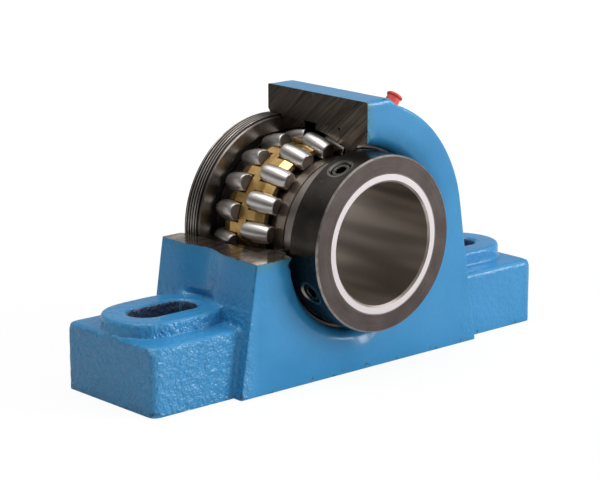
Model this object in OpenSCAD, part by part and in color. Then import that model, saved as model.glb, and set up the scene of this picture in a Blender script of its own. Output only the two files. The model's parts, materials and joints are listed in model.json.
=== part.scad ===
/* [Shaft and inner ring] */
// Diameter of the shaft bore
bore_d = 76.2; // [72:0.1:80]
// Wall of the inner ring behind the middle of a roller path
race_wall = 8.6; // [8:0.1:9.4]
// Wall of the inner ring under the collar
seat_wall = 5; // [4:0.5:6]
// Wall of the inner ring under the seals
land_wall = 9.6; // [8:0.1:10]
// Wall of the inner ring at its outer ribs
rib_wall = 9; // [8:0.1:10]
// Wall of the inner ring at the rib between the two rows
middle_rib_wall = 10.7; // [10:0.1:11.5]
// Length of the inner ring that stands out behind the cover
tail_l = 8; // [4:0.5:14]
// Chamfer at the mouths of the shaft bore
bore_chamfer = 1.2; // [0.5:0.1:2]

/* [Rollers] */
// Largest diameter of a barrel roller
roller_d = 12.4; // [11.5:0.1:12.8]
// Length of a roller
roller_l = 19.7; // [17:0.1:19.9]
// Tilt of the rollers against the shaft, in degrees
contact_angle = 14.9; // [14:0.1:17]
// Rollers in each of the two rows
rollers_per_row = 18; // [16:1:19]
// Angle of the first roller of the front row above the horizontal
first_roller_angle = 13.8; // [0:0.1:20]
// Rounding at the ends of a roller
roller_edge = 0.6; // [0.3:0.1:1]

/* [Cage] */
// Distance from the middle of the band to the tips of the prongs
prong_reach = 17.6; // [14:0.1:20]
// Length of the sloped facet at the tip of a prong
facet_l = 7; // [4:0.1:9]
// Radial thickness of the cage
band_t = 5.2; // [3:0.1:5.6]

/* [Outer rings] */
// Wall of an outer ring behind the middle of the roller paths
outer_wall = 4; // [3.2:0.1:8]
// Width of each outer ring
outer_w = 22.3; // [21:0.1:24]
// Grease gap between the two outer rings
grease_gap = 10.2; // [8:0.1:12]
// Chamfer at the outer corner of a ring
ring_chamfer = 2.2; // [1:0.1:3]

/* [Collar] */
// Radial thickness of the collar
collar_t = 11.6; // [9:0.1:13]
// Width of the collar
collar_w = 24.4; // [20:0.1:28]
// Space between the collar and the floor of the recess behind it
collar_gap = 2.1; // [1:0.1:4]
// Diameter of a set screw
screw_d = 12.7; // [10:0.1:14]
// Width across the flats of the set screw's socket
socket_w = 6.35; // [5:0.05:7]
// Angle of the first set screw
first_screw_angle = 117; // [100:1:130]
// Angle from one set screw to the next
screw_spread = 90; // [60:5:120]
// Chamfer at the front edge of the collar
collar_chamfer = 1; // [0.5:0.1:2]

/* [Housing body] */
// Height of the shaft axis above the base
axis_h = 82.55; // [80:0.05:95]
// Wall of the housing over the bearing
arch_wall = 19.2; // [14:0.1:24]
// Slope of the side walls, in degrees
draft = 9.3; // [5:0.1:14]
// Amount by which the body draws in on each side towards its back
side_taper = 2.8; // [0:0.1:8]
// Width of the lip in front of the front ring
lip_w = 15.7; // [13:0.1:20]
// Depth of the recess round the collar
recess_depth = 9; // [6:0.1:12]
// Space round the collar in the recess
recess_gap = 2; // [1:0.1:5]
// Rounding at the edges of the body
body_edge = 1; // [1:0.5:4]
// Height of the horizontal saw cut below the axis
cut_drop = 1.8; // [0:0.1:4]
// Distance of the upright saw cut from the axis
cut_x = 2.5; // [0:0.1:6]

/* [Base and bolt slots] */
// Length of the base
base_l = 318; // [300:1:340]
// Width of the base
base_w = 84; // [76:1:90]
// Height of the base
base_h = 41.5; // [35:0.5:50]
// Rounding at the upright corners of the base
base_corner = 5; // [4:0.5:12]
// Distance of the bearing's middle behind the middle of the base
bearing_offset = 3; // [0:0.5:5]
// Distance between the middles of the two bolt slots
slot_spacing = 237.4; // [230:0.1:245]
// Width of a bolt slot
slot_w = 23.6; // [18:0.1:28]
// Length of a bolt slot
slot_l = 47.4; // [40:0.1:52]
// Wall of the raised boss round a slot
boss_wall = 15.5; // [10:0.1:17]
// Height of the boss above the base
boss_rise = 9.2; // [5:0.1:14]
// Radius of the shallow hollow in the side wall beside a slot
hollow_r = 25; // [15:0.5:40]
// Depth of the shallow hollow in the side wall
hollow_depth = 5; // [1:0.1:6]

/* [Cover and seals] */
// Width of the threaded cover
cover_w = 14.2; // [12:0.1:18]
// Height of the cover's thread above the outer rings
thread_rise = 1; // [0.5:0.1:2]
// Depth of the cover's thread
thread_depth = 0.9; // [0.5:0.1:1.2]
// Turns of thread on the cover
thread_turns = 5; // [4:1:6]
// Radial space for the seals
seal_h = 5.4; // [4:0.1:7]
// Width of a seal
seal_w = 6; // [4:0.1:7]

/* [Grease fitting] */
// Angle of the grease fitting from the horizontal
fitting_angle = 52; // [48:1:75]
// Distance of the grease fitting in front of the bearing's middle
fitting_z = 16; // [10:0.5:24]
// Depth of the flat spot round the foot of the fitting
spot_depth = 1; // [0.5:0.1:2]
// Diameter of the fitting's threaded stem
stem_d = 6; // [5:0.1:7]
// Width across the flats of the fitting's hexagon
hex_w = 7.5; // [7:0.1:8]
// Length of the plastic cap
cap_l = 12; // [9:0.1:15]

/* [Hidden] */
roller_play = 0.15;
pocket_play = 0.3;
end_play = 0.35;
floor_play = 0.9;
relief = 0.4;
slip = 0.05;
running_gap = 0.3;
thread_play = 0.12;
cage_play = 0.35;

bore_r = bore_d / 2;
row_pitch = 360 / rollers_per_row;
race_apex = (bore_r + race_wall) / cos(contact_angle);
roller_track = race_apex + roller_play + roller_d / 2;
sphere_r = roller_track + roller_d / 2 + roller_play;
barrel_r = sphere_r - roller_play;
roller_path_r = roller_track * cos(contact_angle);
row_offset = roller_track * sin(contact_angle);
outer_r = sphere_r + outer_wall;
ring_end = grease_gap / 2 + outer_w;

land_r = bore_r + land_wall;
rib_r = bore_r + rib_wall;
middle_rib_r = bore_r + middle_rib_wall;
seat_r = bore_r + seat_wall;
rib_end = ring_end + 2.9;
land_start = rib_end + 2.1;
groove_r = rib_r - 1.8;

lip_r = land_r + seal_h;
lip_back = ring_end + slip;
lip_front = lip_back + lip_w;
seal_back = lip_back + 4.8;
body_front = lip_front + recess_depth;
body_back = ring_end + cover_w;
collar_back = lip_front + collar_gap;
ring_front = collar_back + collar_w;
ring_back = body_back + tail_l;
collar_bore_r = seat_r + slip;
collar_r = collar_bore_r + collar_t;
recess_r = collar_r + recess_gap;
recess_flare = 1.8;
cover_r = outer_r + thread_rise;

cage_in_r = middle_rib_r + cage_play;
cage_out_r = cage_in_r + band_t;
prong_slope = tan(contact_angle);

arch_r = outer_r + arch_wall;
cut_z = axis_h - cut_drop;
big = base_l + collar_r;

boss_r = slot_w / 2 + boss_wall;
boss_top = base_h + boss_rise;
slot_run = slot_l - slot_w;
boss_round = 1.8;
boss_fillet = 1.5;
base_edge = 3;

screw_z = ring_front - collar_w / 2;
screw_tip_r = bore_r + 0.3;
screw_top_r = collar_r - 1.4;
socket_depth = 5.5;

spot_r = 7;
nipple_r = 2.4;
nipple_l = 9;
hex_h = 2.6;
cap_wall = 1.75;
cap_bore_r = nipple_r + running_gap;
cap_r = cap_bore_r + cap_wall;
cap_flange_r = cap_r + 0.85;

blue = [0.20, 0.52, 0.76];
cut_steel = [0.36, 0.32, 0.29];
bright_steel = [0.78, 0.77, 0.76];
black_steel = [0.19, 0.18, 0.17];
brass = [0.80, 0.62, 0.28];
rubber = [0.10, 0.10, 0.10];
cap_red = [0.86, 0.24, 0.18];

function two_digits(i) = i < 10 ? str("0", i) : str(i);
function roller_name(row, i) = str(row, "_roller_", two_digits(i));
function roller_names(row) = [for (i = [1:rollers_per_row]) roller_name(row, i)];

$fn = 96;

// The bearing's frame: its own axis points to the front, its X to the right, its Y up
module on_shaft() {
    translate([0, bearing_offset, axis_h])
        rotate([90, 0, 0])
            children();
}

// The quarter that the saw cuts took away
module saw_cut() {
    translate([-big + cut_x, -big, cut_z])
        cube([big, 2 * big, big]);
}

// Outline of the body seen from the front, set in by a margin and drawn in at its sides
function side_x(z, inset) =
    (arch_r - inset) / cos(draft) - (z - axis_h) * tan(draft);
function body_outline(inset, narrowing, steps = 60) =
    let (
        arch = [for (k = [0:steps])
            let (a = draft + (180 - 2 * draft) * k / steps)
            [(arch_r - inset) * cos(a), axis_h + (arch_r - inset) * sin(a)]],
        foot_x = side_x(-body_edge, inset),
        foot = [[-foot_x, -body_edge], [foot_x, -body_edge]])
    [for (p = concat(arch, foot)) [p.x * narrowing, p.y]];

// Share of its full width that the body has at a distance from its front face
function width_share(from_front) =
    1 - side_taper / arch_r * from_front / (body_front + body_back);

// Solid body, rounded along its front and back edges, that narrows towards the back
module body_block(rounds = 3) {
    depth = body_front + body_back;
    slice = 0.01;
    difference() {
        translate([0, bearing_offset - body_front, 0])
            rotate([90, 0, 0])
                hull()
                    for (k = [0:rounds]) {
                        inset = body_edge * (1 - cos(90 * k / rounds));
                        shy = body_edge * (1 - sin(90 * k / rounds));
                        for (from_front = [shy + slice, depth - shy])
                            translate([0, 0, -from_front])
                                linear_extrude(slice)
                                    polygon(body_outline(inset, width_share(from_front)));
                    }
        translate([-big, -big, -big])
            cube([2 * big, 2 * big, big]);
    }
}

// Base block, rounded at its corners and upper edges
module base_block(rounds = 3) {
    hull()
        for (sx = [-1, 1], sy = [-1, 1], k = [0:rounds])
            translate([sx * (base_l / 2 - base_corner), sy * (base_w / 2 - base_corner), 0])
                cylinder(
                    r = base_corner - base_edge * (1 - cos(90 * k / rounds)),
                    h = base_h - base_edge * (1 - sin(90 * k / rounds)),
                    $fn = 32);
}

// Points of a quarter arc about a centre, from one angle to another
function arc(cx, cy, r, from, to, steps = 4) =
    [for (k = [0:steps])
        let (a = from + (to - from) * k / steps)
        [cx + r * cos(a), cy + r * sin(a)]];

// Half section of a boss wall with a rounded top edge and a hollow fillet at its foot
module boss_section() {
    polygon(concat(
        [[0, base_h / 2], [boss_r + boss_fillet, base_h / 2]],
        arc(boss_r + boss_fillet, base_h + boss_fillet, boss_fillet, 270, 180),
        arc(boss_r - boss_round, boss_top - boss_round, boss_round, 0, 90),
        [[0, boss_top]]));
}

module slot_boss() {
    intersection() {
        union() {
            for (s = [-1, 1])
                translate([s * slot_run / 2, 0, 0])
                    rotate_extrude()
                        boss_section();
            for (turn = [0, 180])
                rotate([0, 0, turn])
                    translate([-slot_run / 2, 0, 0])
                        rotate([90, 0, 90])
                            linear_extrude(slot_run)
                                boss_section();
        }
        translate([-slot_spacing / 2, -base_w / 2, 0])
            cube([base_l / 2, base_w, boss_top]);
    }
}

module slot_hole(r, from_z, to_z) {
    for (s = [-1, 1])
        translate([s * slot_run / 2, 0, from_z])
            cylinder(r = r, h = to_z - from_z);
    translate([-slot_run / 2, -r, from_z])
        cube([slot_run, 2 * r, to_z - from_z]);
}

// Room for the bearing, the lip, the recess round the collar and the cover's thread
module housing_cavity() {
    mouth = 2.4;
    lip_chamfer = 2.2;
    thread_bore_r = cover_r + thread_play;
    rotate_extrude()
        polygon([
            [0, -body_back - 1],
            [thread_bore_r + mouth + 1, -body_back - 1],
            [thread_bore_r, -body_back + mouth],
            [thread_bore_r, -ring_end + 0.5],
            [outer_r + slip, -ring_end + 0.5],
            [outer_r + slip, lip_back],
            [lip_r + lip_chamfer, lip_back],
            [lip_r + lip_chamfer, lip_back + lip_chamfer],
            [lip_r, seal_back - 0.1],
            [lip_r, lip_front - lip_chamfer * 2],
            [lip_r + lip_chamfer, lip_front],
            [recess_r, lip_front],
            [recess_r + recess_flare, body_front],
            [recess_r + recess_flare, body_front + 1],
            [0, body_front + 1]
        ]);
}

// Flat spot and tapped seat of the grease fitting, and the drilled way to the outer rings' gap
module grease_way() {
    seat_depth = 9;
    drill_r = 1.8;
    corner_r = arch_r - seat_depth + 1;
    run = [outer_r - corner_r, -fitting_z];
    on_shaft()
        rotate([0, 0, fitting_angle]) {
            translate([arch_r - seat_depth, 0, fitting_z])
                rotate([0, 90, 0])
                    cylinder(d = stem_d + 2 * slip, h = seat_depth + 1);
            translate([arch_r - spot_depth, 0, fitting_z])
                rotate([0, 90, 0])
                    cylinder(r = spot_r, h = spot_depth + 1);
            translate([corner_r, 0, fitting_z])
                rotate([0, atan2(run.x, run.y), 0])
                    cylinder(r = drill_r, h = norm(run) + 1);
        }
}

// Blind hole in the top of the arch, which the upright cut grazes
module top_hole() {
    hole_r = 2.9;
    hole_depth = 4.2;
    translate([0, bearing_offset - 2.5, axis_h + arch_r - hole_depth])
        cylinder(r = hole_r, h = hole_depth + 1);
}

// Upright hollow that runs along the sloping side wall
module side_hollow() {
    translate([side_x(0, 0) * width_share(body_front), bearing_offset, 0])
        rotate([0, -draft, 0])
            translate([hollow_r - hollow_depth, 0, 0])
                cylinder(r = hollow_r, h = axis_h);
}

module housing() {
    color(blue)
        difference() {
            union() {
                difference() {
                    body_block();
                    for (side = [0, 1])
                        mirror([side, 0, 0])
                            side_hollow();
                }
                base_block();
                for (turn = [0, 180])
                    rotate([0, 0, turn])
                        translate([slot_spacing / 2, 0, 0])
                            slot_boss();
            }
            on_shaft()
                housing_cavity();
            for (s = [-1, 1])
                translate([s * slot_spacing / 2, 0, 0])
                    slot_hole(slot_w / 2, -1, boss_top + 1);
            grease_way();
            top_hole();
            saw_cut();
        }
}

// Cover with a coarse outer thread, shown as rings, and blind spanner holes in its back
module threaded_cover() {
    pin_hole_d = 6;
    pin_hole_depth = 6;
    edge = 1.2;
    pitch = (cover_w - 2 * edge) / thread_turns;
    crest = 0.25 * pitch;
    teeth = [for (k = [0:thread_turns - 1])
        let (z = edge + k * pitch)
        each [[cover_r - thread_depth, z], [cover_r, z + 0.5 * pitch - crest / 2],
              [cover_r, z + 0.5 * pitch + crest / 2]]];
    color(black_steel)
        on_shaft()
            difference() {
                translate([0, 0, -body_back])
                    rotate_extrude()
                        polygon(concat(
                            [[lip_r + edge, 0], [cover_r - thread_depth, 0]],
                            teeth,
                            [[cover_r - thread_depth, cover_w - edge],
                             [cover_r - thread_depth - edge, cover_w - slip],
                             [lip_r + 2 * edge, cover_w - slip],
                             [lip_r, cover_w - 3 * edge],
                             [lip_r, edge]]));
                for (k = [0:3])
                    rotate([0, 0, 45 + 90 * k])
                        translate([(lip_r + cover_r) / 2, 0, -body_back - 1])
                            cylinder(d = pin_hole_d, h = pin_hole_depth + 1);
            }
}

module outer_ring() {
    difference() {
        rotate_extrude()
            polygon([
                [bore_r, grease_gap / 2],
                [outer_r - 1, grease_gap / 2],
                [outer_r, grease_gap / 2 + 1],
                [outer_r, ring_end - ring_chamfer],
                [outer_r - ring_chamfer, ring_end],
                [bore_r, ring_end]
            ]);
        sphere(r = sphere_r);
    }
}

module front_outer_ring() {
    color(cut_steel)
        difference() {
            on_shaft()
                outer_ring();
            saw_cut();
        }
}

module rear_outer_ring() {
    color(cut_steel)
        difference() {
            on_shaft()
                mirror([0, 0, 1])
                    outer_ring();
            saw_cut();
        }
}

// Cased lip seal that fills the lip bore and stops short of the inner ring
module seal() {
    case_t = 1;
    lip_edge_r = land_r + running_gap;
    rotate_extrude()
        polygon([
            [lip_r - slip, seal_back],
            [lip_r - slip, seal_back + seal_w],
            [lip_r - case_t, seal_back + seal_w],
            [lip_r - case_t, seal_back + case_t * 2],
            [lip_edge_r + case_t, seal_back + case_t * 2],
            [lip_edge_r + case_t, seal_back + seal_w * 0.7],
            [lip_edge_r, seal_back + seal_w * 0.5],
            [lip_edge_r + case_t * 0.4, seal_back]
        ]);
}

module front_seal() {
    color(rubber)
        difference() {
            on_shaft()
                seal();
            saw_cut();
        }
}

module rear_seal() {
    color(rubber)
        on_shaft()
            mirror([0, 0, 1])
                seal();
}

// Half section of a roller's path: the barrel's outline with play all round
module race_section() {
    r = barrel_r + roller_play;
    half_l = roller_l / 2 + end_play;
    translate([roller_path_r, row_offset])
        rotate(contact_angle)
            intersection() {
                translate([r - roller_d / 2 - roller_play, 0])
                    circle(r = r, $fn = 360);
                translate([-roller_d, -half_l])
                    square([2 * roller_d, 2 * half_l]);
            }
}

module inner_ring() {
    middle = row_offset / 2;
    c = bore_chamfer;
    color(bright_steel)
        on_shaft()
            difference() {
                rotate_extrude()
                    polygon([
                        [bore_r + c, -ring_back],
                        [land_r, -ring_back],
                        [land_r, -land_start],
                        [groove_r, -land_start],
                        [groove_r, -rib_end],
                        [rib_r, -rib_end],
                        [rib_r, -middle],
                        [middle_rib_r, -middle],
                        [middle_rib_r, middle],
                        [rib_r, middle],
                        [rib_r, rib_end],
                        [groove_r, rib_end],
                        [groove_r, land_start],
                        [land_r, land_start],
                        [land_r, collar_back],
                        [seat_r, collar_back],
                        [seat_r, ring_front],
                        [bore_r + c, ring_front],
                        [bore_r, ring_front - c],
                        [bore_r, -ring_back + c]
                    ]);
                for (half = [0, 1])
                    mirror([0, 0, half])
                        rotate_extrude()
                            race_section();
                for (k = [0, 1])
                    screw_place(k)
                        cylinder(d = screw_d + 2 * slip, h = collar_r);
            }
}

// Barrel roller on its own axis
module barrel() {
    rotate_extrude()
        difference() {
            intersection() {
                translate([roller_d / 2 - barrel_r, 0])
                    circle(r = barrel_r, $fn = 360);
                translate([0, -roller_l / 2])
                    square([roller_d, roller_l]);
            }
            for (s = [-1, 1])
                translate([roller_end_r(), s * roller_l / 2])
                    rotate(45)
                        square(roller_edge * sqrt(2), center = true);
        }
}

function roller_end_r() =
    roller_d / 2 - barrel_r + sqrt(pow(barrel_r, 2) - pow(roller_l / 2, 2));

function roller_angle(row, i) =
    first_roller_angle + (i - 1 + (row == "rear" ? 0.5 : 0)) * row_pitch;

module roller_place(row, i) {
    rotate([0, 0, roller_angle(row, i)])
        mirror([0, 0, row == "rear" ? 1 : 0])
            translate([roller_path_r, 0, row_offset])
                rotate([0, -contact_angle, 0])
                    children();
}

module roller(row, i) {
    color(bright_steel)
        on_shaft()
            roller_place(row, i)
                barrel();
}

// Section of the cage: a band with prongs on both sides that slope in at their tips
module cage_section() {
    facet_start = prong_reach - facet_l;
    tip_r = cage_out_r - facet_l * prong_slope;
    polygon([
        [cage_in_r, -prong_reach],
        [tip_r, -prong_reach],
        [cage_out_r, -facet_start],
        [cage_out_r, facet_start],
        [tip_r, prong_reach],
        [cage_in_r, prong_reach]
    ]);
}

// One-piece machined cage, bored out for both rows and undercut at the pockets' floors
module cage() {
    floor_z = -roller_l / 2 - floor_play;
    pocket_r = roller_d / 2 + pocket_play;
    color(brass)
        on_shaft()
            difference() {
                rotate_extrude()
                    cage_section();
                for (row = ["front", "rear"], i = [1:rollers_per_row])
                    roller_place(row, i)
                        translate([0, 0, floor_z])
                            rotate([0, 0, 180]) {
                                cylinder(r = pocket_r, h = 1.2 * roller_l);
                                cylinder(r = pocket_r + relief, h = 2 * relief);
                            }
            }
}

module collar() {
    color(black_steel)
        on_shaft()
            difference() {
                rotate_extrude()
                    polygon([
                        [collar_bore_r, collar_back + slip],
                        [collar_r - 0.6, collar_back + slip],
                        [collar_r, collar_back + 0.6 + slip],
                        [collar_r, ring_front - collar_chamfer],
                        [collar_r - collar_chamfer, ring_front],
                        [collar_bore_r + 0.5, ring_front],
                        [collar_bore_r, ring_front - 0.5]
                    ]);
                for (k = [0, 1])
                    screw_place(k) {
                        cylinder(d = screw_d + 2 * slip, h = 2 * collar_r);
                        translate([0, 0, collar_r - 1.2])
                            cylinder(d1 = screw_d, d2 = screw_d + 5, h = 2.5);
                    }
            }
}

module screw_place(k) {
    rotate([0, 0, first_screw_angle + k * screw_spread])
        translate([0, 0, screw_z])
            rotate([0, 90, 0])
                children();
}

// Set screw with a hexagon socket; it reaches through the inner ring to the shaft
module set_screw(k) {
    tip = 1.5;
    color(black_steel)
        on_shaft()
            screw_place(k)
                difference() {
                    union() {
                        translate([0, 0, screw_tip_r])
                            cylinder(d1 = screw_d - 2 * tip, d2 = screw_d, h = tip);
                        translate([0, 0, screw_tip_r + tip])
                            cylinder(d = screw_d, h = screw_top_r - screw_tip_r - 1.6 * tip);
                        translate([0, 0, screw_top_r - 0.6 * tip])
                            cylinder(d1 = screw_d, d2 = screw_d - 1.2 * tip, h = 0.6 * tip);
                    }
                    translate([0, 0, screw_top_r - socket_depth])
                        cylinder(d = socket_w / cos(30), h = socket_depth + 1, $fn = 6);
                    translate([0, 0, screw_top_r - 0.5])
                        cylinder(d1 = socket_w, d2 = socket_w + 2, h = 1);
                }
}

module set_screw_top() {
    set_screw(0);
}

module set_screw_side() {
    set_screw(1);
}

module on_fitting() {
    on_shaft()
        rotate([0, 0, fitting_angle])
            translate([arch_r - spot_depth, 0, fitting_z])
                rotate([0, 90, 0])
                    children();
}

module grease_fitting() {
    stem_l = 7;
    color(bright_steel)
        on_fitting() {
            translate([0, 0, -stem_l])
                cylinder(d = stem_d, h = stem_l + slip);
            cylinder(d = hex_w / cos(30), h = hex_h, $fn = 6);
            rotate_extrude()
                polygon([
                    [0, 0],
                    [nipple_r + 0.6, 0],
                    [nipple_r + 0.6, hex_h],
                    [nipple_r - 0.7, hex_h + 2],
                    [nipple_r - 0.7, nipple_l - 2.4],
                    [nipple_r, nipple_l - 1.6],
                    [nipple_r, nipple_l - 0.8],
                    [nipple_r - 1, nipple_l],
                    [0, nipple_l]
                ]);
        }
}

// Soft plastic cap, closed at its outer end, with a flange to pull it off by
module grease_cap() {
    base = hex_h + running_gap;
    top = base + cap_l;
    flange_h = 1.6;
    color(cap_red)
        on_fitting()
            rotate_extrude()
                polygon([
                    [cap_bore_r + 0.7, base],
                    [cap_r, base],
                    [cap_r, top - flange_h - 1],
                    [cap_flange_r, top - flange_h],
                    [cap_flange_r, top - 0.9],
                    [cap_flange_r - 0.3, top - 0.4],
                    [cap_flange_r - 1, top],
                    [0, top],
                    [0, nipple_l + running_gap],
                    [cap_bore_r, nipple_l + running_gap],
                    [cap_bore_r, base + 1.6],
                    [cap_bore_r + 0.7, base + 1]
                ]);
}

housing();
threaded_cover();
front_outer_ring();
rear_outer_ring();
front_seal();
rear_seal();
inner_ring();
cage();
collar();
set_screw_top();
set_screw_side();
grease_fitting();
grease_cap();
for (i = [1:rollers_per_row])
    roller("front", i);
for (i = [1:rollers_per_row])
    roller("rear", i);
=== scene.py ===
"""Looks of a pillow block bearing, cut away to show its rollers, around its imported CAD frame."""
import json
import math

import bmesh
import bpy
from mathutils import Matrix, Vector, kdtree, noise


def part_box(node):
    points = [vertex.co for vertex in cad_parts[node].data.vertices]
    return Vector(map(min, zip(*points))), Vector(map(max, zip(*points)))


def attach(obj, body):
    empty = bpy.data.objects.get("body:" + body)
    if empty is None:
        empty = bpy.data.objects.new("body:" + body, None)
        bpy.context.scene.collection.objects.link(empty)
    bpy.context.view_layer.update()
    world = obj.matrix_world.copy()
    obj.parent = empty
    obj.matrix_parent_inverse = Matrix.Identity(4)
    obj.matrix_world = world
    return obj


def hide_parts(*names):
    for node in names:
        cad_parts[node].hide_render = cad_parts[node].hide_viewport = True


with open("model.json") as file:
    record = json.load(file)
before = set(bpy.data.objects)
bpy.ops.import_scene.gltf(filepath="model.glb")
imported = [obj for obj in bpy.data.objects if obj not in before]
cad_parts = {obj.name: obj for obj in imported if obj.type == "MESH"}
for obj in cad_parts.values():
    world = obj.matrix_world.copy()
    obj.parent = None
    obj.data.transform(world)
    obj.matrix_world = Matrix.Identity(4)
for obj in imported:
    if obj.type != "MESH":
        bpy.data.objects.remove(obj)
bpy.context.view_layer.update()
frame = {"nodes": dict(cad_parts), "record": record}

# Lengths are millimetres in the frame's axes. Radii are measured from the shaft axis, and
# "along" from the middle of the bearing towards the front.
MM = 0.001
AXIS_Y = 3.0
AXIS_Z = 82.55
CUT_X = 2.5
CUT_Z = 80.75

# Inner ring, collar and set screws
BORE_R = 38.1
SEAT_R = 43.1
LAND_R = 47.7
LAND_BACK = 27.0
RING_FRONT = 69.65
COLLAR_R = 54.75
SCREW_ANGLES = (117, 207)
SCREW_ALONG = 57.45

# Rollers
ROLLER_R = 6.2
ROLLER_HALF = 9.85
BARREL_R = 60.875

# Threaded cover
COVER_R = 66.025
COVER_BACK = -41.6
COVER_W = 14.2
COVER_BORE_R = 53.1

# Housing: base, feet and slot bosses
BASE_END = 159.0
FEET_X = 80.0
BOSS_TOP = 50.7
SLOT_X = 118.7
SLOT_RUN = 11.9
SLOT_R = 11.8

# Housing: arch and side walls, with their hollows and the pad on the crown
ARCH_R = 84.225
DRAFT = math.radians(9.3)
FRONT_Y = -49.15
BACK_Y = 44.6
LIP_FRONT = 43.15
WALL_TAPER = 0.03324
WALL_LOW = 51.0
HOLLOW_R = 25.0
HOLLOW_DEPTH = 5.3
HOLLOW_Y = 2.45
HOLLOW_LOW = 52.0
HOLLOW_FULL = 80.0
HOLLOW_TOP = 96.0
PAD_X = 24.3

# Slant of the saw's marks on an upright cut, in degrees
SAW_SLANT = (40, 0, 0)

# Finishes of the housing's faces, in the order of its material slots
PAINT, UPRIGHT, LEVEL, BORED = range(4)
CASTING_FINISHES = ("blue_paint", "saw_upright", "saw_level", "bored_iron")


def place_camera():
    """Camera fitted to the photograph."""
    azimuth, elevation, roll = (math.radians(v) for v in (-41.56, 13.86, -0.1))
    distance = 1467.95 * MM
    target = Vector((-8.56, 0.07, 74.39)) * MM
    back = Vector((math.sin(azimuth) * math.cos(elevation),
                   -math.cos(azimuth) * math.cos(elevation),
                   math.sin(elevation)))
    data = bpy.data.cameras.new("camera")
    data.lens = 141.156
    data.sensor_width = 36.0
    data.clip_start = 0.1
    data.clip_end = 20.0
    camera = bpy.data.objects.new("camera", data)
    bpy.context.scene.collection.objects.link(camera)
    camera.location = target + back * distance
    aim = (-back).to_track_quat("-Z", "Y").to_matrix().to_4x4()
    turned = aim @ Matrix.Rotation(roll, 4, "Z")
    camera.matrix_world = Matrix.Translation(camera.location) @ turned
    bpy.context.scene.camera = camera


class Shader:
    """Builds one node tree; a value may be a number, a colour or another node's socket."""

    def __init__(self, name, owner=None, coord="Object"):
        self.material = owner or bpy.data.materials.new(name)
        self.material.use_nodes = True
        self.tree = self.material.node_tree
        self.tree.nodes.clear()
        self.coord = self.tree.nodes.new("ShaderNodeTexCoord").outputs[coord]

    def add(self, kind, inputs=None, out=0, **props):
        node = self.tree.nodes.new(kind)
        for key, value in props.items():
            setattr(node, key, value)
        for key, value in (inputs or {}).items():
            socket = node.inputs[key]
            if isinstance(value, bpy.types.NodeSocket):
                self.tree.links.new(value, socket)
            else:
                socket.default_value = value
        return node.outputs[out] if node.outputs else node

    def math(self, operation, a, b=0.0):
        return self.add("ShaderNodeMath", {0: a, 1: b}, operation=operation)

    def times(self, *factors):
        product = factors[0]
        for factor in factors[1:]:
            product = self.math("MULTIPLY", product, factor)
        return product

    def plus(self, *terms):
        total = terms[0]
        for term in terms[1:]:
            total = self.math("ADD", total, term)
        return total

    def most(self, a, b):
        return self.math("MAXIMUM", a, b)

    def gap(self, value, place):
        """How far value is from place, to either side."""
        return self.math("ABSOLUTE", self.math("SUBTRACT", value, place))

    def reach(self, a, b):
        """Length of the plane vector (a, b)."""
        return self.math("SQRT", self.plus(self.times(a, a), self.times(b, b)))

    def joined(self, x, y, z=0.0):
        return self.add("ShaderNodeCombineXYZ", {0: x, 1: y, 2: z})

    def mapped(self, scale, turn=(0, 0, 0)):
        """Object coordinates in millimetres, turned by degrees, then scaled."""
        turned = self.add("ShaderNodeMapping", {
            "Vector": self.coord, "Rotation": tuple(math.radians(v) for v in turn)})
        return self.add("ShaderNodeMapping", {
            "Vector": turned, "Scale": tuple(1000.0 * v for v in scale)})

    def grain(self, vector, detail, rough):
        """Noise over a vector of its own, with blobs about one unit across."""
        return self.add("ShaderNodeTexNoise", {
            "Vector": vector, "Scale": 1.0, "Detail": detail, "Roughness": rough})

    def noise(self, size, detail=3.0, rough=0.5):
        """Noise whose blobs are about size millimetres across."""
        return self.grain(self.mapped((1.0 / size,) * 3), detail, rough)

    def ramp(self, value, low, high, start=0.0, end=1.0):
        """Smooth step of value from low to high, mapped to start and end."""
        return self.add("ShaderNodeMapRange", {
            "Value": value, "From Min": low, "From Max": high, "To Min": start, "To Max": end},
            interpolation_type="SMOOTHSTEP")

    def mix(self, factor, a, b):
        node = self.tree.nodes.new("ShaderNodeMix")
        node.data_type = "RGBA"
        for key, value in ((0, factor), (6, a), (7, b)):
            if isinstance(value, bpy.types.NodeSocket):
                self.tree.links.new(value, node.inputs[key])
            elif key:
                node.inputs[key].default_value = (*value, 1.0)
            else:
                node.inputs[key].default_value = value
        return node.outputs[2]

    def bump(self, height, depth, normal=None):
        """Bump whose full height is depth millimetres."""
        inputs = {"Height": height, "Distance": depth * MM, "Strength": 1.0}
        if normal:
            inputs["Normal"] = normal
        return self.add("ShaderNodeBump", inputs)

    def split(self, vector=None):
        node = self.tree.nodes.new("ShaderNodeSeparateXYZ")
        self.tree.links.new(vector or self.coord, node.inputs[0])
        return node.outputs[0], node.outputs[1], node.outputs[2]

    def split_mm(self):
        return tuple(self.math("MULTIPLY", v, 1000.0) for v in self.split())

    def pointiness(self):
        """About a half on flat faces, more on outer edges and less in corners."""
        return self.add("ShaderNodeNewGeometry", out="Pointiness")

    def edges(self, low=0.53, high=0.6):
        """One along sharp outer edges, nought elsewhere."""
        return self.ramp(self.pointiness(), low, high)

    def surface(self, colour, rough, metallic=0.0, normal=None):
        inputs = {"Base Color": colour, "Roughness": rough, "Metallic": metallic}
        if normal:
            inputs["Normal"] = normal
        shader = self.add("ShaderNodeBsdfPrincipled", inputs)
        self.add("ShaderNodeOutputMaterial", {"Surface": shader})
        return self.material


def shaft_coords(s):
    """Distance from the shaft axis, position along it towards the front, and angle round it."""
    x, y, z = s.split_mm()
    up = s.math("SUBTRACT", z, AXIS_Z)
    along = s.math("SUBTRACT", AXIS_Y, y)
    return s.reach(x, up), along, s.math("ARCTAN2", up, x)


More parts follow.
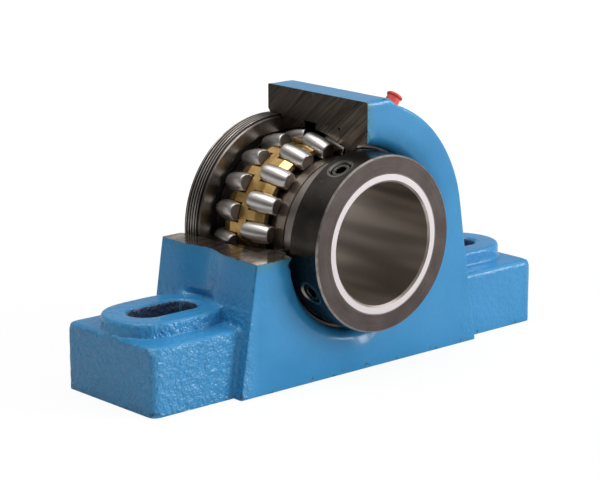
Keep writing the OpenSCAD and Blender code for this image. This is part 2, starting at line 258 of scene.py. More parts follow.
def turned_rings(s, radius, along, angle, ridge=0.25):
    """Fine marks of turning, drawn out round the shaft axis."""
    vector = s.joined(s.math("DIVIDE", radius, ridge), s.math("DIVIDE", along, ridge),
                      s.times(angle, 1.5))
    return s.grain(vector, 3, 0.6)


def saw_marks(s):
    """Fine slanting marks of the saw on an upright cut."""
    return s.grain(s.mapped((0.2, 1 / 26, 1 / 0.75), SAW_SLANT), 4, 0.62)


def slot_shade(s, x, y, z):
    """One inside the bolt slots, just under their mouths, where the paint gets painted shade."""
    past_run = s.most(s.math("SUBTRACT", s.gap(s.math("ABSOLUTE", x), SLOT_X), SLOT_RUN), 0.0)
    return s.times(s.ramp(s.reach(past_run, y), SLOT_R + 0.9, SLOT_R + 0.3),
                   s.ramp(z, BOSS_TOP - 0.5, BOSS_TOP - 1.9))


def beside_cut(s, x, z):
    """Distance of the paint from the nearer sawn face."""
    below = s.plus(s.gap(z, CUT_Z), s.ramp(x, CUT_X - 0.5, CUT_X + 0.5, 0.0, 9.0))
    beside = s.plus(s.gap(x, CUT_X), s.ramp(z, CUT_Z + 2, CUT_Z, 0.0, 9.0))
    return s.math("MINIMUM", below, beside)


def wall_patch(s, y, z):
    """One in the middle of the lumpy oval patch on the left side wall, nought outside it."""
    middle_y, half_y = -6.0, 7.0
    middle_z, half_z = 68.0, 13.0
    across = s.math("DIVIDE", s.plus(y, -middle_y), half_y)
    upward = s.math("DIVIDE", s.plus(z, -middle_z), half_z)
    return s.ramp(s.reach(across, upward), 1.0, 0.3)


def blue_paint():
    """Gloss enamel: smooth on the body, thick and lumpy over the rough casting of the feet."""
    s = Shader("blue_paint")
    x, y, z = s.split_mm()
    away = s.math("ABSOLUTE", x)
    facing_up = s.split(s.add("ShaderNodeNewGeometry", out="Normal"))[2]
    level = s.ramp(facing_up, 0.7, 0.9)
    foot = s.times(s.ramp(away, FEET_X + 4, FEET_X + 14), s.ramp(level, 0, 1, 1.0, 0.3),
                   s.ramp(x, -20, 20, 1.0, 0.25), s.ramp(z, WALL_LOW, WALL_LOW + 3, 1.0, 0.3))
    end = s.ramp(away, BASE_END - 2, BASE_END - 0.5)
    from_cut = beside_cut(s, x, z)

    base = s.mix(s.ramp(s.noise(45, 3), 0.3, 0.7), (0.028, 0.250, 0.53), (0.043, 0.292, 0.595))
    # Painted light: the feet's upright faces, the left foot's most, are made a lighter blue.
    base = s.mix(s.times(foot, 0.5), base, (0.060, 0.32, 0.62))
    # Painted shade: the paint inside the bolt slots is darkened to a dark navy.
    base = s.mix(s.times(slot_shade(s, x, y, z), 0.9), base, (0.065, 0.075, 0.135))
    # Painted highlight: a lighter blue along the sharp outer edges, broken up by noise.
    edge_highlight = s.times(s.edges(0.53, 0.62), s.ramp(s.noise(6, 3), 0.35, 0.6, 0.2, 0.8))
    base = s.mix(edge_highlight, base, (0.11, 0.41, 0.68))
    tint = s.times(s.ramp(from_cut, 7.5, 0.3), s.ramp(s.noise(7, 3), 0.3, 0.6, 0.35, 1.0),
                   s.ramp(y, FRONT_Y + 2.15, FRONT_Y + 0.15, 0.35, 1.0))
    base = s.mix(s.times(tint, 0.8), base, (0.060, 0.235, 0.285))
    low_chip = s.times(s.ramp(z, 5.0, 1.5), s.ramp(s.noise(3.2, 4), 0.6, 0.68))
    cut_chip = s.times(s.ramp(from_cut, 1.0, 0.2), s.ramp(s.noise(1.6, 4), 0.52, 0.6))
    chip = s.most(cut_chip, low_chip)
    base = s.mix(chip, base, (0.05, 0.048, 0.045))
    speck = s.ramp(s.noise(1.1, 2, 0.4), 0.72, 0.78)
    base = s.mix(s.times(speck, 0.35), base, (0.012, 0.10, 0.25))

    wall = s.times(s.ramp(x, 4 - FEET_X, -FEET_X), s.ramp(z, WALL_LOW, WALL_LOW + 3))
    patch = wall_patch(s, y, z)
    peel = s.noise(1.6, 2, 0.4)
    lumps = s.noise(3.4, 2, 0.35)
    pits = s.ramp(s.noise(1.5, 2, 0.4), 0.36, 0.5)
    rough_coat = s.plus(s.times(peel, 0.5), s.times(lumps, 0.85))
    off_edges = s.ramp(s.pointiness(), 0.515, 0.56, 1.0, 0.15)
    uneven = s.times(s.plus(foot, 0.05, s.times(wall, 0.10), s.times(wall, patch, 0.5)), off_edges)
    height = s.plus(s.times(rough_coat, uneven), s.times(pits, end, 0.3), s.times(chip, -0.15))
    normal = s.bump(s.noise(0.7, 2), 0.005, s.bump(height, 1.7))
    rough = s.plus(s.ramp(foot, 0, 1, 0.20, 0.07), s.times(s.noise(7, 3), 0.08),
                   s.times(chip, 0.3))
    return s.surface(base, rough, normal=normal)


def saw_upright():
    """Sawn face over the shaft: slanting saw marks, browner and lighter towards the front."""
    s = Shader("saw_upright")
    x, y, z = s.split_mm()
    fine = saw_marks(s)
    broad = s.grain(s.mapped((0.06, 1 / 70, 1 / 4.5), SAW_SLANT), 2, 0.5)
    front = s.ramp(y, 10, -45)
    low = s.times(s.ramp(z, 152, 132), front)
    tone = s.plus(s.times(s.ramp(fine, 0.34, 0.7), 0.6), s.times(s.ramp(broad, 0.35, 0.65), 0.4))
    tone = s.times(tone, s.plus(0.5, s.times(front, 0.4), s.times(low, 0.9)))
    colour = s.mix(tone, (0.026, 0.021, 0.017), (0.165, 0.135, 0.108))
    return s.surface(colour, s.ramp(tone, 0, 1, 0.42, 0.3), 0.9, s.bump(fine, 0.035))


def saw_level():
    """Sawn face beside the shaft, with the curved marks that a wheel left."""
    s = Shader("saw_level")
    x, y, z = s.split_mm()
    wheel_x, wheel_y = -38.0, -150.0
    dx = s.math("SUBTRACT", x, wheel_x)
    dy = s.math("SUBTRACT", y, wheel_y)
    sweep = s.reach(dx, dy)
    turn = s.math("ARCTAN2", dy, dx)
    arcs = s.grain(s.joined(s.math("DIVIDE", sweep, 1.1), s.times(turn, 7.0)), 4, 0.6)
    wide = s.grain(s.joined(s.math("DIVIDE", sweep, 6.5), s.times(turn, 9.0), 4.0), 2, 0.5)
    tone = s.plus(s.times(s.ramp(arcs, 0.35, 0.68), 0.35), s.times(s.ramp(wide, 0.38, 0.62), 0.65))
    tone = s.times(tone, s.ramp(y, 20, -40, 0.75, 1.15))
    colour = s.mix(tone, (0.22, 0.185, 0.160), (0.86, 0.74, 0.63))
    normal = s.bump(wide, 0.12, s.bump(arcs, 0.008))
    return s.surface(colour, s.ramp(tone, 0, 1, 0.2, 0.13), 0.95, normal)


def turned_steel(name, dark, light, rough):
    """Plain turned steel with soft clouding and a painted highlight along its sharp edges."""
    s = Shader(name)
    rings = turned_rings(s, *shaft_coords(s))
    cloud = s.noise(14, 4, 0.55)
    tone = s.plus(s.times(rings, 0.4), s.times(cloud, 0.6))
    colour = s.mix(s.ramp(tone, 0.35, 0.65), dark, light)
    # Painted highlight: a pale steel colour along the sharp outer edges.
    colour = s.mix(s.times(s.edges(), 0.7), colour, (0.55, 0.52, 0.49))
    rough_cloud = s.ramp(cloud, 0.3, 0.7, rough, rough + 0.1)
    return s.surface(colour, rough_cloud, 1.0, s.bump(rings, 0.004))


def cut_ring_steel():
    """Outer ring: ground inside, saw-marked where the quarter is cut away."""
    s = Shader("ring_steel")
    x, y, z = s.split_mm()
    rings = turned_rings(s, *shaft_coords(s))
    cloud = s.noise(14, 4, 0.55)
    ground = s.mix(s.ramp(cloud, 0.35, 0.65), (0.075, 0.063, 0.053), (0.185, 0.158, 0.135))
    pale = s.times(s.ramp(y, 5, -25), s.ramp(z, 148, 136))
    tone = s.times(s.ramp(saw_marks(s), 0.34, 0.7), s.plus(0.7, s.times(pale, 1.2)))
    sawn = s.mix(tone, (0.042, 0.035, 0.028), (0.185, 0.155, 0.128))
    on_upright = s.times(s.ramp(s.gap(x, CUT_X), 0.1, 0.03), s.ramp(z, CUT_Z, CUT_Z + 0.1))
    on_level = s.times(s.ramp(s.gap(z, CUT_Z), 0.1, 0.03), s.ramp(x, CUT_X, CUT_X - 0.1))
    cut = s.most(on_upright, on_level)
    rough = s.plus(0.36, s.times(cut, -0.06))
    return s.surface(s.mix(cut, ground, sawn), rough, 1.0, s.bump(rings, 0.004))


def inner_ring_steel():
    """Ground inner ring: near-white end, bright seal land, browner paths, and a bore whose streaks
    are partly painted reflection bands.
    """
    s = Shader("inner_ring_steel")
    radius, along, angle = shaft_coords(s)
    rings = turned_rings(s, radius, along, angle)
    cloud = s.noise(12, 4, 0.55)
    # Partly painted reflection: broad light and dark bands running along the bore's axis.
    streak = s.grain(s.joined(s.times(angle, 2.4), s.math("DIVIDE", along, 150.0), 3.0), 1, 0.4)
    body = s.mix(s.ramp(cloud, 0.3, 0.7), (0.36, 0.31, 0.27), (0.54, 0.475, 0.42))
    bore = s.mix(s.ramp(streak, 0.36, 0.64), (0.28, 0.245, 0.215), (0.60, 0.53, 0.475))
    chamfer = s.times(s.ramp(radius, BORE_R + 1.25, BORE_R + 1.15),
                      s.ramp(along, RING_FRONT - 0.02, RING_FRONT - 0.06))
    in_bore = s.most(s.ramp(radius, BORE_R + 0.3, BORE_R + 0.1), chamfer)
    end = s.times(s.ramp(along, RING_FRONT - 0.08, RING_FRONT - 0.03),
                  s.ramp(radius, BORE_R + 1.1, BORE_R + 1.2))
    land = s.times(s.ramp(along, LAND_BACK, LAND_BACK + 6),
                   s.ramp(radius, LAND_R - 0.6, LAND_R - 0.2))
    colour = s.mix(in_bore, body, bore)
    colour = s.mix(land, colour, (0.40, 0.365, 0.335))
    colour = s.mix(end, colour, (0.70, 0.65, 0.66))
    rough = s.plus(0.26, s.times(end, 0.22), s.times(in_bore, 0.16), s.times(rings, 0.06))
    return s.surface(colour, rough, s.ramp(end, 0, 1, 1.0, 0.55), s.bump(rings, 0.004))


def collar_steel():
    """Black-oxide collar with a greyer turned face and painted highlights on its chamfers."""
    s = Shader("collar_steel")
    radius, along, angle = shaft_coords(s)
    rings = turned_rings(s, radius, along, angle, 0.3)
    cloud = s.noise(16, 4, 0.55)
    face = s.ramp(along, RING_FRONT - 0.9, RING_FRONT - 0.3)
    side = s.mix(s.ramp(cloud, 0.3, 0.7), (0.055, 0.049, 0.044), (0.085, 0.076, 0.069))
    front = s.mix(s.ramp(s.plus(s.times(rings, 0.5), s.times(cloud, 0.5)), 0.36, 0.64),
                  (0.088, 0.071, 0.067), (0.130, 0.107, 0.101))
    colour = s.mix(face, side, front)
    # Painted highlight: the chamfers at the face's rims and round the set screws' holes are made a
    # pale steel.
    rim = s.times(s.ramp(radius, COLLAR_R - 1.1, COLLAR_R - 0.9),
                  s.ramp(along, RING_FRONT - 1.15, RING_FRONT - 0.95),
                  s.ramp(s.noise(5, 3), 0.3, 0.55, 0.45, 1.0))
    inner_rim = s.times(s.ramp(radius, SEAT_R + 0.75, SEAT_R + 0.5), face)
    seats = s.most(*(screw_seat(s, math.radians(degrees)) for degrees in SCREW_ANGLES))
    bright = s.most(s.times(s.most(rim, inner_rim), 0.75), s.times(seats, 0.4))
    colour = s.mix(bright, colour, (0.50, 0.47, 0.44))
    scratch = s.ramp(s.grain(s.mapped((0.05, 0.9, 1.6), (0, 20, 60)), 2, 0.5), 0.70, 0.74)
    colour = s.mix(s.times(scratch, 0.2), colour, (0.35, 0.33, 0.31))
    rough = s.plus(0.25, s.times(face, 0.12), s.times(cloud, 0.06))
    return s.surface(colour, rough, 1.0, s.bump(rings, 0.005))


def screw_seat(s, angle):
    """One on the chamfer round a set screw's hole, which lies at angle round the shaft."""
    x, y, z = s.split_mm()
    up = s.math("SUBTRACT", z, AXIS_Z)
    across = s.math("SUBTRACT", s.times(up, math.cos(angle)), s.times(x, math.sin(angle)))
    ahead = s.math("SUBTRACT", AXIS_Y - SCREW_ALONG, y)
    outward = s.plus(s.times(x, math.cos(angle)), s.times(up, math.sin(angle)))
    off = s.reach(across, ahead)
    band = s.times(s.ramp(off, 8.6, 8.2), s.ramp(off, 6.3, 6.5))
    skin = s.ramp(outward, COLLAR_R + 0.1, COLLAR_R - 0.2)
    return s.times(band, s.ramp(outward, 30, 40), skin)


def cover_steel():
    """Dark turned cover, with painted highlights on the crests of its thread and round its bore,
    and painted shade in the thread's roots.
    """
    s = Shader("cover_steel")
    radius, along, angle = shaft_coords(s)
    rings = turned_rings(s, radius, along, angle, 0.4)
    cloud = s.noise(18, 3, 0.5)
    streak = s.grain(s.joined(s.times(angle, 5.0), s.math("DIVIDE", radius, 30.0)), 3, 0.5)
    tone = s.plus(s.times(cloud, 0.5), s.times(streak, 0.5))
    colour = s.mix(s.ramp(tone, 0.35, 0.65), (0.14, 0.123, 0.112), (0.31, 0.275, 0.250))
    # Painted shade: the roots of the thread are darkened.
    root_shade = s.times(s.ramp(radius, COVER_R - 0.3, COVER_R - 0.6),
                     s.ramp(radius, COVER_R - 1.3, COVER_R - 1.1))
    colour = s.mix(root_shade, colour, (0.030, 0.026, 0.023))
    # Painted highlight: the crests of the thread are made lighter.
    crest = s.times(s.ramp(radius, COVER_R - 0.4, COVER_R - 0.1),
                    s.ramp(s.noise(9, 3), 0.25, 0.6, 0.6, 1.0))
    colour = s.mix(crest, colour, (0.52, 0.475, 0.445))
    # Painted highlight: the bore and the inner part of the face's chamfer are made lighter.
    rim = s.times(s.ramp(radius, COVER_BORE_R + 1.4, COVER_BORE_R + 0.9), 0.7)
    colour = s.mix(rim, colour, (0.35, 0.32, 0.30))
    rough = s.plus(0.28, s.times(cloud, 0.10))
    return s.surface(colour, rough, 1.0, s.bump(rings, 0.003))


def roller_chrome():
    """Ground barrel with a browner, duller end inside a bright rim; z is the roller's own axis."""
    s = Shader("roller_chrome")
    x, y, z = s.split_mm()
    off = s.reach(x, y)
    end = s.times(s.ramp(s.math("ABSOLUTE", z), ROLLER_HALF - 0.12, ROLLER_HALF - 0.04),
                  s.ramp(off, 4.75, 4.6))
    colour = s.mix(end, (0.66, 0.63, 0.605), (0.22, 0.190, 0.172))
    rough = s.plus(s.ramp(s.noise(4, 3), 0.3, 0.7, 0.31, 0.37), s.times(end, 0.06))
    rings = s.grain(s.joined(s.times(off, 3.0), s.times(z, 3.0)), 2, 0.5)
    return s.surface(colour, rough, 1.0, s.bump(rings, 0.0012))


def cage_brass():
    """Machined brass, with a painted highlight along its edges."""
    s = Shader("cage_brass")
    cloud = s.noise(9, 3)
    fine = s.noise(0.5, 2)
    colour = s.mix(s.ramp(cloud, 0.3, 0.7), (0.62, 0.375, 0.11), (0.88, 0.59, 0.235))
    # Painted highlight: a paler brass along the sharp outer edges.
    colour = s.mix(s.times(s.edges(0.56, 0.64), 0.5), colour, (0.95, 0.80, 0.48))
    return s.surface(colour, s.ramp(cloud, 0.3, 0.7, 0.24, 0.34), 1.0, s.bump(fine, 0.006))


def plastic_red():
    """Soft moulded cap."""
    s = Shader("cap_plastic")
    colour = s.mix(s.noise(3, 3), (0.84, 0.058, 0.030), (0.97, 0.105, 0.052))
    return s.surface(colour, 0.36, normal=s.bump(s.noise(0.8, 2), 0.02))


def rubber():
    """Matte black seal."""
    s = Shader("seal_rubber")
    colour = s.mix(s.noise(3, 3), (0.012, 0.012, 0.012), (0.03, 0.028, 0.027))
    return s.surface(colour, 0.5, normal=s.bump(s.noise(0.6, 2), 0.02))


MATERIALS = {
    "blue_paint": blue_paint(),
    "saw_upright": saw_upright(),
    "saw_level": saw_level(),
    "bored_iron": turned_steel("bored_iron", (0.045, 0.038, 0.033), (0.16, 0.138, 0.12), 0.34),
    "dark_steel": cover_steel(),
    "ring_steel": cut_ring_steel(),
    "black_steel": turned_steel("black_steel", (0.030, 0.027, 0.025), (0.065, 0.058, 0.054), 0.3),
    "fitting_steel": turned_steel("fitting_steel", (0.45, 0.43, 0.41), (0.62, 0.60, 0.58), 0.3),
    "roller_steel": roller_chrome(),
    "cage_brass": cage_brass(),
    "red_plastic": plastic_red(),
    "seal_rubber": rubber(),
}
OWN_FINISH = {"inner_ring": inner_ring_steel(), "collar": collar_steel()}
SLOTS = {row["node"]: row["material_slot"] for row in frame["record"]["subparts"]}


def dress_frame():
    """Gives each CAD node that stays its finish."""
    for name, obj in frame["nodes"].items():
        obj.data.materials.clear()
        obj.data.materials.append(OWN_FINISH.get(name) or MATERIALS[SLOTS[name]])


def add_piece(name, mesh, body, node):
    """Links a detailed piece that stands for a CAD node and moves with its body."""
    obj = bpy.data.objects.new(name, mesh)
    bpy.context.scene.collection.objects.link(obj)
    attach(obj, body)
    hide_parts(node)
    return obj


def finish_of(face):
    """Which of the casting's finishes a face of the housing has."""
    touching, shy = 0.02, 0.1
    bored_r, shoulder_r, cover_seat = 68.6, 67, -30
    c = face.calc_center_median() / MM
    n = face.normal
    radius = math.hypot(c.x, c.z - AXIS_Z)
    along = AXIS_Y - c.y
    if abs(c.x - CUT_X) < touching and n.x < -0.9 and c.z > CUT_Z - shy:
        return UPRIGHT
    if abs(c.z - CUT_Z) < touching and n.z > 0.9 and c.x < CUT_X + shy:
        return LEVEL
    underside = c.z < touching
    faces_axis = n.x * c.x + n.z * (c.z - AXIS_Z) <= 0
    in_bore = radius < bored_r and along < LIP_FRONT + 0.15 and faces_axis
    faces_along = abs(n.y) > 0.5
    shoulder = radius < shoulder_r and cover_seat < along < LIP_FRONT + 0.05 and faces_along
    if underside or in_bore or shoulder or in_passage(c, n, radius):
        return BORED
    return PAINT


def in_passage(c, n, radius):
    """Whether a face lies in the grease passage through the crown."""
    passage_y, reach = 0.5, 3.2
    beside = abs(c.x) < reach and abs(c.y - passage_y) < reach
    return beside and 78 < radius < 85 and c.z > 150 and n.z < 0.98


def split_long_edges(bm, limit_of):
    """Halves every edge that is longer than its own limit, until none is left."""
    for _ in range(12):
        long = [e for e in bm.edges if e.calc_length() > limit_of(e)]
        if not long:
            return
        bmesh.ops.subdivide_edges(bm, edges=long, cuts=1, use_grid_fill=False)
        bmesh.ops.triangulate(bm, faces=[f for f in bm.faces if len(f.verts) > 3])


def tree_of(edges):
    """Search tree of the ends and middles of some edges."""
    tree = kdtree.KDTree(3 * len(edges))
    for e in edges:
        a, b = (v.co for v in e.verts)
        for point in (a, b, (a + b) / 2):
            tree.insert(point, 0)
    tree.balance()
    return tree


def step(value, low, high):
    """Smooth step from nought at low to one at high."""
    t = min(1.0, max(0.0, (value - low) / (high - low)))
    return t * t * (3 - 2 * t)


def wall_x(y, z):
    """How far the plain side wall stands from the middle, in millimetres."""
    full = ARCH_R / math.cos(DRAFT) - (z - AXIS_Z) * math.tan(DRAFT)
    return full * (1 - WALL_TAPER * (y - FRONT_Y) / (BACK_Y - FRONT_Y))


def hollow(y):
    """Depth of the side wall's plain round hollow, in millimetres."""
    off = min(HOLLOW_R, abs(y - HOLLOW_Y))
    return max(0.0, HOLLOW_DEPTH - HOLLOW_R + math.sqrt(HOLLOW_R ** 2 - off ** 2))


def soft_hollow(y, z):
    """Depth of the same hollow once its edges are blended away."""
    spacing, spread, reach = 2.0, 6.0, 8
    shares = {spacing * k: math.exp(-(spacing * k / spread) ** 2 / 2)
              for k in range(-reach, reach + 1)}
    depth = sum(share * hollow(y + off) for off, share in shares.items()) / sum(shares.values())
    fade_up = step(z, HOLLOW_TOP, HOLLOW_FULL)
    fade_down = 0.45 + 0.55 * step(z, HOLLOW_LOW, HOLLOW_FULL)
    return depth * fade_up * fade_down


def soften_hollows(bm):
    """Blends the shallow hollows into the side walls, along their saw-cut rim too."""
    wall_from, half_width, skin, inland = 60, 30, 1.5, 15
    for v in bm.verts:
        x, y, z = v.co / MM
        if abs(x) < wall_from or not WALL_LOW < z < HOLLOW_TOP or abs(y - HOLLOW_Y) > half_width:
            continue
        kinds = {f.material_index for f in v.link_faces}
        inside = wall_x(y, z) - abs(x)
        if kinds == {LEVEL}:
            depth = hollow(y)
            weight = max(0.0, 1 - (inside - depth) / inland)
        elif kinds <= {PAINT, LEVEL} and inside < HOLLOW_DEPTH + skin:
            depth = inside
            weight = step(z, WALL_LOW, WALL_LOW + 5)
        else:
            continue
        v.co.x += (depth - soft_hollow(y, z)) * weight * MM * math.copysign(1, x)


def raise_crown(bm):
    """Flattens the crown into the low pad that the photograph shows beside the cut."""
    reach_x, crown_z, skin, blend, rounding = 30, 150, 1.3, 2.8, 2.6
    for v in bm.verts:
        x, y, z = v.co / MM
        on_arch = math.hypot(x, z - AXIS_Z) >= ARCH_R - skin
        if not (CUT_X <= x <= reach_x and z >= crown_z and on_arch):
            continue
        pad = step(x, PAD_X + blend, PAD_X - blend)
        lift = ARCH_R - math.sqrt(ARCH_R ** 2 - x ** 2)
        behind = max(0.0, rounding - (y - FRONT_Y))
        edge = rounding - math.sqrt(rounding ** 2 - min(rounding, behind) ** 2)
        v.co.z += (lift - edge * 0.5 * step(x, CUT_X, 8)) * pad * MM


def lean_back_face(bm):
    """Leans the back face forward towards the crown, as the mould's draft leaves it."""
    lean, from_y, low, high = 2.0, 36, 85, 150
    for v in bm.verts:
        _, y, z = v.co / MM
        if y > from_y and z > low:
            v.co.y -= lean * step(z, low, high) * (y - from_y) / (BACK_Y - from_y) * MM


def round_end(bm, radius):
    """Rounds the lower edge at the base's right end, which the photograph shows worn round."""
    centre_x = max(v.co.x for v in bm.verts) - radius
    for v in bm.verts:
        over = v.co.x - centre_x
        under = radius - v.co.z
        if over > 0 and under > 0:
            reach = math.hypot(over, under)
            if reach > radius:
                v.co.x = centre_x + over * radius / reach
                v.co.z = radius - under * radius / reach


def keep_in_box(bm):
    """Holds every corner inside the CAD node's own box."""
    low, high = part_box("housing")
    for v in bm.verts:
        v.co = Vector(max(a, min(b, c)) for a, b, c in zip(low, high, v.co))


def casting_limit(edge):
    """Longest edge allowed in the housing's mesh; the lumpy feet are finer than the body."""
    body, feet, walls, plain, crown = 4.0, 3.3, 3.6, 16.0, 2.4
    x, _, z = (edge.verts[0].co + edge.verts[1].co) / 2 / MM
    limit = feet if abs(x) > FEET_X and z > 1 else body
    if abs(x) > FEET_X - 6 and WALL_LOW < z < HOLLOW_TOP + 1:
        limit = walls
    if z < 1 or math.hypot(x, z - AXIS_Z) < 70:
        limit = plain
    if z > 158 and 14 < x < 32:
        limit = crown
    return limit * MM * 1.0


def cut_fine(bm):
    """Cleans the CAD mesh and cuts it finely enough to take soft shapes."""
    bmesh.ops.remove_doubles(bm, verts=bm.verts, dist=0.00001)
    bmesh.ops.dissolve_limit(bm, angle_limit=math.radians(0.2), verts=bm.verts, edges=bm.edges)
    bmesh.ops.triangulate(bm, faces=bm.faces)
    split_long_edges(bm, casting_limit)
    flat = [e for e in bm.edges if len(e.link_faces) == 2 and e.calc_face_angle(0) < 0.01]
    bmesh.ops.beautify_fill(bm, faces=bm.faces, edges=flat)
    bm.normal_update()


def mark_finishes(bm):
    """Gives each face its finish, and returns search trees of the creases and of the rims."""
    for face in bm.faces:
        face.material_index = finish_of(face)
        face.smooth = True
    crease = []
    rim = []
    for e in bm.edges:
        kinds = {f.material_index for f in e.link_faces}
        bend = e.calc_face_angle(0)
        if kinds == {PAINT}:
            if bend > math.radians(20):
                crease.append(e)
        else:
            e.smooth = bend < math.radians(25) and len(kinds) == 1
            if len(kinds) > 1:
                rim.append(e)
    return tree_of(crease), tree_of(rim)


def roughen(free, near_crease):
    """Lumps of the rough casting on the feet, and a faint wave over all of the paint."""
    fade_x, fade_crease = 12, 4 * MM
    for v, weight in free.items():
        p = v.co / MM
        side = 0.88 if p.x < 0 else 0.2
        rough = 0.12 + side * min(1.0, max(0.0, (abs(p.x) - FEET_X) / fade_x))
        calm = 0.25 if v.normal.z > 0.8 or p.z > HOLLOW_LOW else 1.0
        calm *= 0.1 + 0.9 * min(1.0, near_crease.find(v.co)[2] / fade_crease)
        lump = noise.noise(p / 5.5) * 0.13 + noise.noise(p / 2.7 + Vector((9, 2, 5))) * 0.14
        wave = noise.noise(p / 38 + Vector((3, 7, 1))) * 0.25
        v.co += v.normal * weight * (lump * rough * calm + wave) * MM


def make_casting():
    """The housing with rounded, slightly uneven painted surfaces and crisp machined ones."""
    rim_fade, soft_reach = 3 * MM, 1.6 * MM
    bm = bmesh.new()
    bm.from_mesh(frame["nodes"]["housing"].data)
    cut_fine(bm)
    near_crease, near_rim = mark_finishes(bm)
    free = {}
    for v in bm.verts:
        if {f.material_index for f in v.link_faces} == {PAINT}:
            free[v] = min(1.0, near_rim.find(v.co)[2] / rim_fade)
    soft = [v for v in free if near_crease.find(v.co)[2] < soft_reach and free[v] > 0.3]
    soften_hollows(bm)
    raise_crown(bm)
    lean_back_face(bm)
    for _ in range(2):
        bmesh.ops.smooth_vert(bm, verts=soft, factor=0.5,
                              use_axis_x=True, use_axis_y=True, use_axis_z=True)
    bm.normal_update()
    roughen(free, near_crease)
    round_end(bm, 3.5 * MM)
    keep_in_box(bm)
    bm.normal_update()
    mesh = bpy.data.meshes.new("housing_casting")
    bm.to_mesh(mesh)
    bm.free()
    for name in CASTING_FINISHES:
        mesh.materials.append(MATERIALS[name])
    add_piece("housing_casting", mesh, "housing_body", "housing")


def spun(name, profile, steps, material, wobble=None):
    """Mesh of a profile of (radius, height) points in millimetres, spun round its z axis."""
    rings = []
    verts = []
    faces = []
    for radius, height in profile:
        if radius < 1e-6:
            rings.append([len(verts)])
            verts.append((0, 0, height * MM))
            continue
        rings.append(list(range(len(verts), len(verts) + steps)))
        for k in range(steps):
            a = 2 * math.pi * k / steps
            r = radius if wobble is None else wobble(radius, height, a)
            verts.append((r * math.cos(a) * MM, r * math.sin(a) * MM, height * MM))
    pairs = list(zip(rings, rings[1:]))
    if profile[0][0] > 1e-6 and profile[-1][0] > 1e-6:
        pairs.append((rings[-1], rings[0]))
    for a, b in pairs:
        for k in range(steps):
            j = (k + 1) % steps
            corners = [a[k % len(a)], a[j % len(a)], b[j % len(b)], b[k % len(b)]]
            faces.append(list(dict.fromkeys(corners)))
    mesh = bpy.data.meshes.new(name)
    mesh.from_pydata(verts, [], faces)
    mesh.materials.append(material)
    mesh.validate()
    bm = bmesh.new()
    bm.from_mesh(mesh)
    bmesh.ops.recalc_face_normals(bm, faces=bm.faces)
    for face in bm.faces:
        face.smooth = True
    for e in bm.edges:
        e.smooth = e.calc_face_angle(0) < math.radians(35)
    bm.to_mesh(mesh)
    bm.free()
    return mesh


def roller_profile():
    """Half section of a barrel roller with rounded ends, from one end's middle to the other's."""
    rounding, sweep, corners, rows = 0.75, 84, 4, 12
    end_r = ROLLER_R - BARREL_R + math.sqrt(BARREL_R ** 2 - ROLLER_HALF ** 2)
    flat_r = end_r - rounding
    upper = [(0.0, ROLLER_HALF), (flat_r * 0.5, ROLLER_HALF), (flat_r, ROLLER_HALF)]
    for k in range(1, corners + 1):
        a = math.radians(90 - sweep * k / corners)
        upper.append((flat_r + rounding * math.cos(a),
                      ROLLER_HALF - rounding * (1 - math.sin(a))))
    top = ROLLER_HALF - rounding
    side = []
    for k in range(1, rows):
        h = top - 2 * top * k / rows
        side.append((ROLLER_R - BARREL_R + math.sqrt(BARREL_R ** 2 - h * h), h))
    return upper + side + [(r, -h) for r, h in reversed(upper)]


def make_rollers():
    """Ground barrel rollers on their own axes."""
    mesh = spun("roller", roller_profile(), 40, MATERIALS["roller_steel"])
    for joint in frame["record"]["behaviour"]["joints"]:
        if "_roller_" not in joint["name"]:
            continue
        node = joint["child"].removesuffix("_body")
        obj = add_piece(node + "_barrel", mesh.copy(), joint["child"], node)
        aim = Vector(joint["axis"]).to_track_quat("Z", "Y").to_matrix().to_4x4()
        obj.matrix_world = Matrix.Translation(joint["pos_m"]) @ aim


def make_cover():
    """The threaded cover with a real helical thread and its spanner holes."""
    edge, turns, depth, run_out = 1.2, 5, 0.9, 1.2
    pitch = (COVER_W - 2 * edge) / turns
    root_r = COVER_R - depth
    first, last = edge * 0.5, COVER_W - edge * 1.2

    def thread(radius, height, angle):
        """Radius of the threaded outside, which fades out to its root at both ends."""
        if radius < root_r - 0.01 or not first < height < last:
            return radius
        phase = (height / pitch - angle / (2 * math.pi)) % 1.0
        crest, slope = 1.35, 3.6
        tooth = max(0.0, min(1.0, crest - abs(phase - 0.5) * slope))
        fade = min(1.0, (height - first) / run_out, (last - height) / run_out)
        return root_r + depth * tooth * max(0.0, fade)

    low, high, rows = 0.35, COVER_W - 1.55, 56
    face = COVER_W - 0.05
    outer = [(root_r, low + (high - low) * k / rows) for k in range(rows + 1)]
    profile = ([(COVER_BORE_R + edge, 0.0), (root_r - low, 0.0)] + outer
               + [(root_r - edge + 0.25, face), (COVER_BORE_R + 2 * edge, face),
                  (COVER_BORE_R, COVER_W - 3 * edge), (COVER_BORE_R, edge)])
    mesh = spun("cover", profile, 240, MATERIALS["dark_steel"], thread)
    obj = add_piece("cover_with_thread", mesh, "housing_body", "threaded_cover")
    drill_holes(obj, (COVER_BORE_R + COVER_R) / 2, 3.0, 6.0)
    back = Matrix.Translation((0, (AXIS_Y - COVER_BACK) * MM, AXIS_Z * MM))
    obj.data.transform(back @ Matrix.Rotation(math.radians(90), 4, "X"))


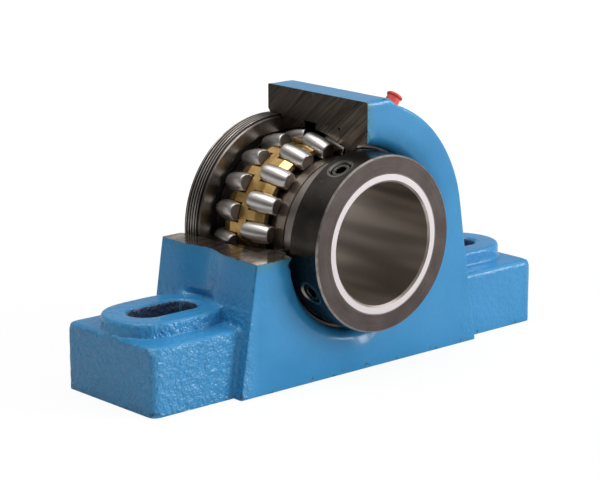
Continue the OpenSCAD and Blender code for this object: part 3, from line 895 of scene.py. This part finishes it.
def drill_holes(obj, circle_r, hole_r, depth):
    """Four blind holes in the face of a ring that lies at height nought."""
    cutter_mesh = bpy.data.meshes.new("drill")
    bm = bmesh.new()
    for k in range(4):
        a = math.radians(45 + 90 * k)
        centre = Vector((circle_r * math.cos(a), circle_r * math.sin(a), (depth / 2 - 1))) * MM
        bmesh.ops.create_cone(bm, cap_ends=True, segments=32,
                              radius1=hole_r * MM, radius2=hole_r * MM,
                              depth=(depth + 2) * MM, matrix=Matrix.Translation(centre))
    bm.to_mesh(cutter_mesh)
    bm.free()
    cutter = bpy.data.objects.new("drill", cutter_mesh)
    bpy.context.scene.collection.objects.link(cutter)
    cut = obj.modifiers.new("holes", "BOOLEAN")
    cut.operation = "DIFFERENCE"
    cut.object = cutter
    cut.solver = "EXACT"
    evaluated = obj.evaluated_get(bpy.context.evaluated_depsgraph_get())
    shaped = bpy.data.meshes.new_from_object(evaluated)
    obj.modifiers.clear()
    obj.data = shaped
    bpy.data.objects.remove(cutter)


def make_floor():
    """Plain floor: white to the camera far off, and nearly so under the part's soft shadow."""
    bpy.ops.mesh.primitive_plane_add(size=6.0, location=(0, 0, -0.0002))
    floor = bpy.context.object
    floor.name = "floor"
    s = Shader("floor")
    seen = s.add("ShaderNodeLightPath", out="Is Camera Ray")
    matte = s.add("ShaderNodeBsdfDiffuse", {"Color": (0.72, 0.72, 0.72, 1.0)})
    white = s.add("ShaderNodeEmission", {"Color": (1, 1, 1, 1), "Strength": 1.06})
    x, y, z = s.split()
    far = s.ramp(s.reach(x, y), 0.2, 0.6, 0.86, 1.0)
    both = s.add("ShaderNodeMixShader", {0: s.times(seen, far), 1: matte, 2: white})
    s.add("ShaderNodeOutputMaterial", {"Surface": both})
    floor.data.materials.append(s.material)


def make_world():
    """White to the camera, and behind the part to its gloss; else a dim room, bright above."""
    world = bpy.data.worlds.new("studio")
    bpy.context.scene.world = world
    s = Shader("studio", world, "Generated")
    x, y, z = s.split()
    ceiling = s.ramp(z, 0.35, 0.8, 0.0, 0.55)
    side = s.ramp(s.math("SUBTRACT", s.times(x, 0.66), s.times(y, 0.75)), 0.1, 0.95, 0.0, 0.5)
    level = s.plus(0.05, ceiling, side)
    path = s.tree.nodes.new("ShaderNodeLightPath")
    behind = s.times(s.ramp(y, 0.0, 0.35), s.ramp(z, 0.45, 0.2), s.ramp(x, -0.8, -0.4, 0.35, 1.0),
                     path.outputs["Is Glossy Ray"], 0.5)
    room = s.add("ShaderNodeBackground", {
        "Color": (1.0, 0.98, 0.96, 1.0), "Strength": s.most(level, behind)})
    white = s.add("ShaderNodeBackground", {"Color": (1, 1, 1, 1), "Strength": 1.0})
    both = s.add("ShaderNodeMixShader", {0: path.outputs["Is Camera Ray"], 1: room, 2: white})
    s.add("ShaderNodeOutputWorld", {"Surface": both})


def area_lamp(name, place, aim, size, power):
    """Rectangular lamp at place, turned towards aim; metres and watts."""
    data = bpy.data.lights.new(name, "AREA")
    data.shape = "RECTANGLE"
    data.size, data.size_y = size
    data.energy = power
    lamp = bpy.data.objects.new(name, data)
    bpy.context.scene.collection.objects.link(lamp)
    lamp.location = place
    lamp.rotation_euler = (Vector(aim) - Vector(place)).to_track_quat("-Z", "Y").to_euler()


def light_up():
    """Large key lamp at the front right and a soft one overhead."""
    middle = (0, 0, 0.08)
    area_lamp("key", (1.35, -1.5, 0.8), middle, (0.9, 1.3), 28)
    area_lamp("top", (-0.3, 0.2, 1.5), middle, (1.1, 0.7), 8)


bpy.context.scene.view_settings.view_transform = "Standard"
place_camera()
make_world()
make_floor()
light_up()
dress_frame()
make_casting()
make_rollers()
make_cover()
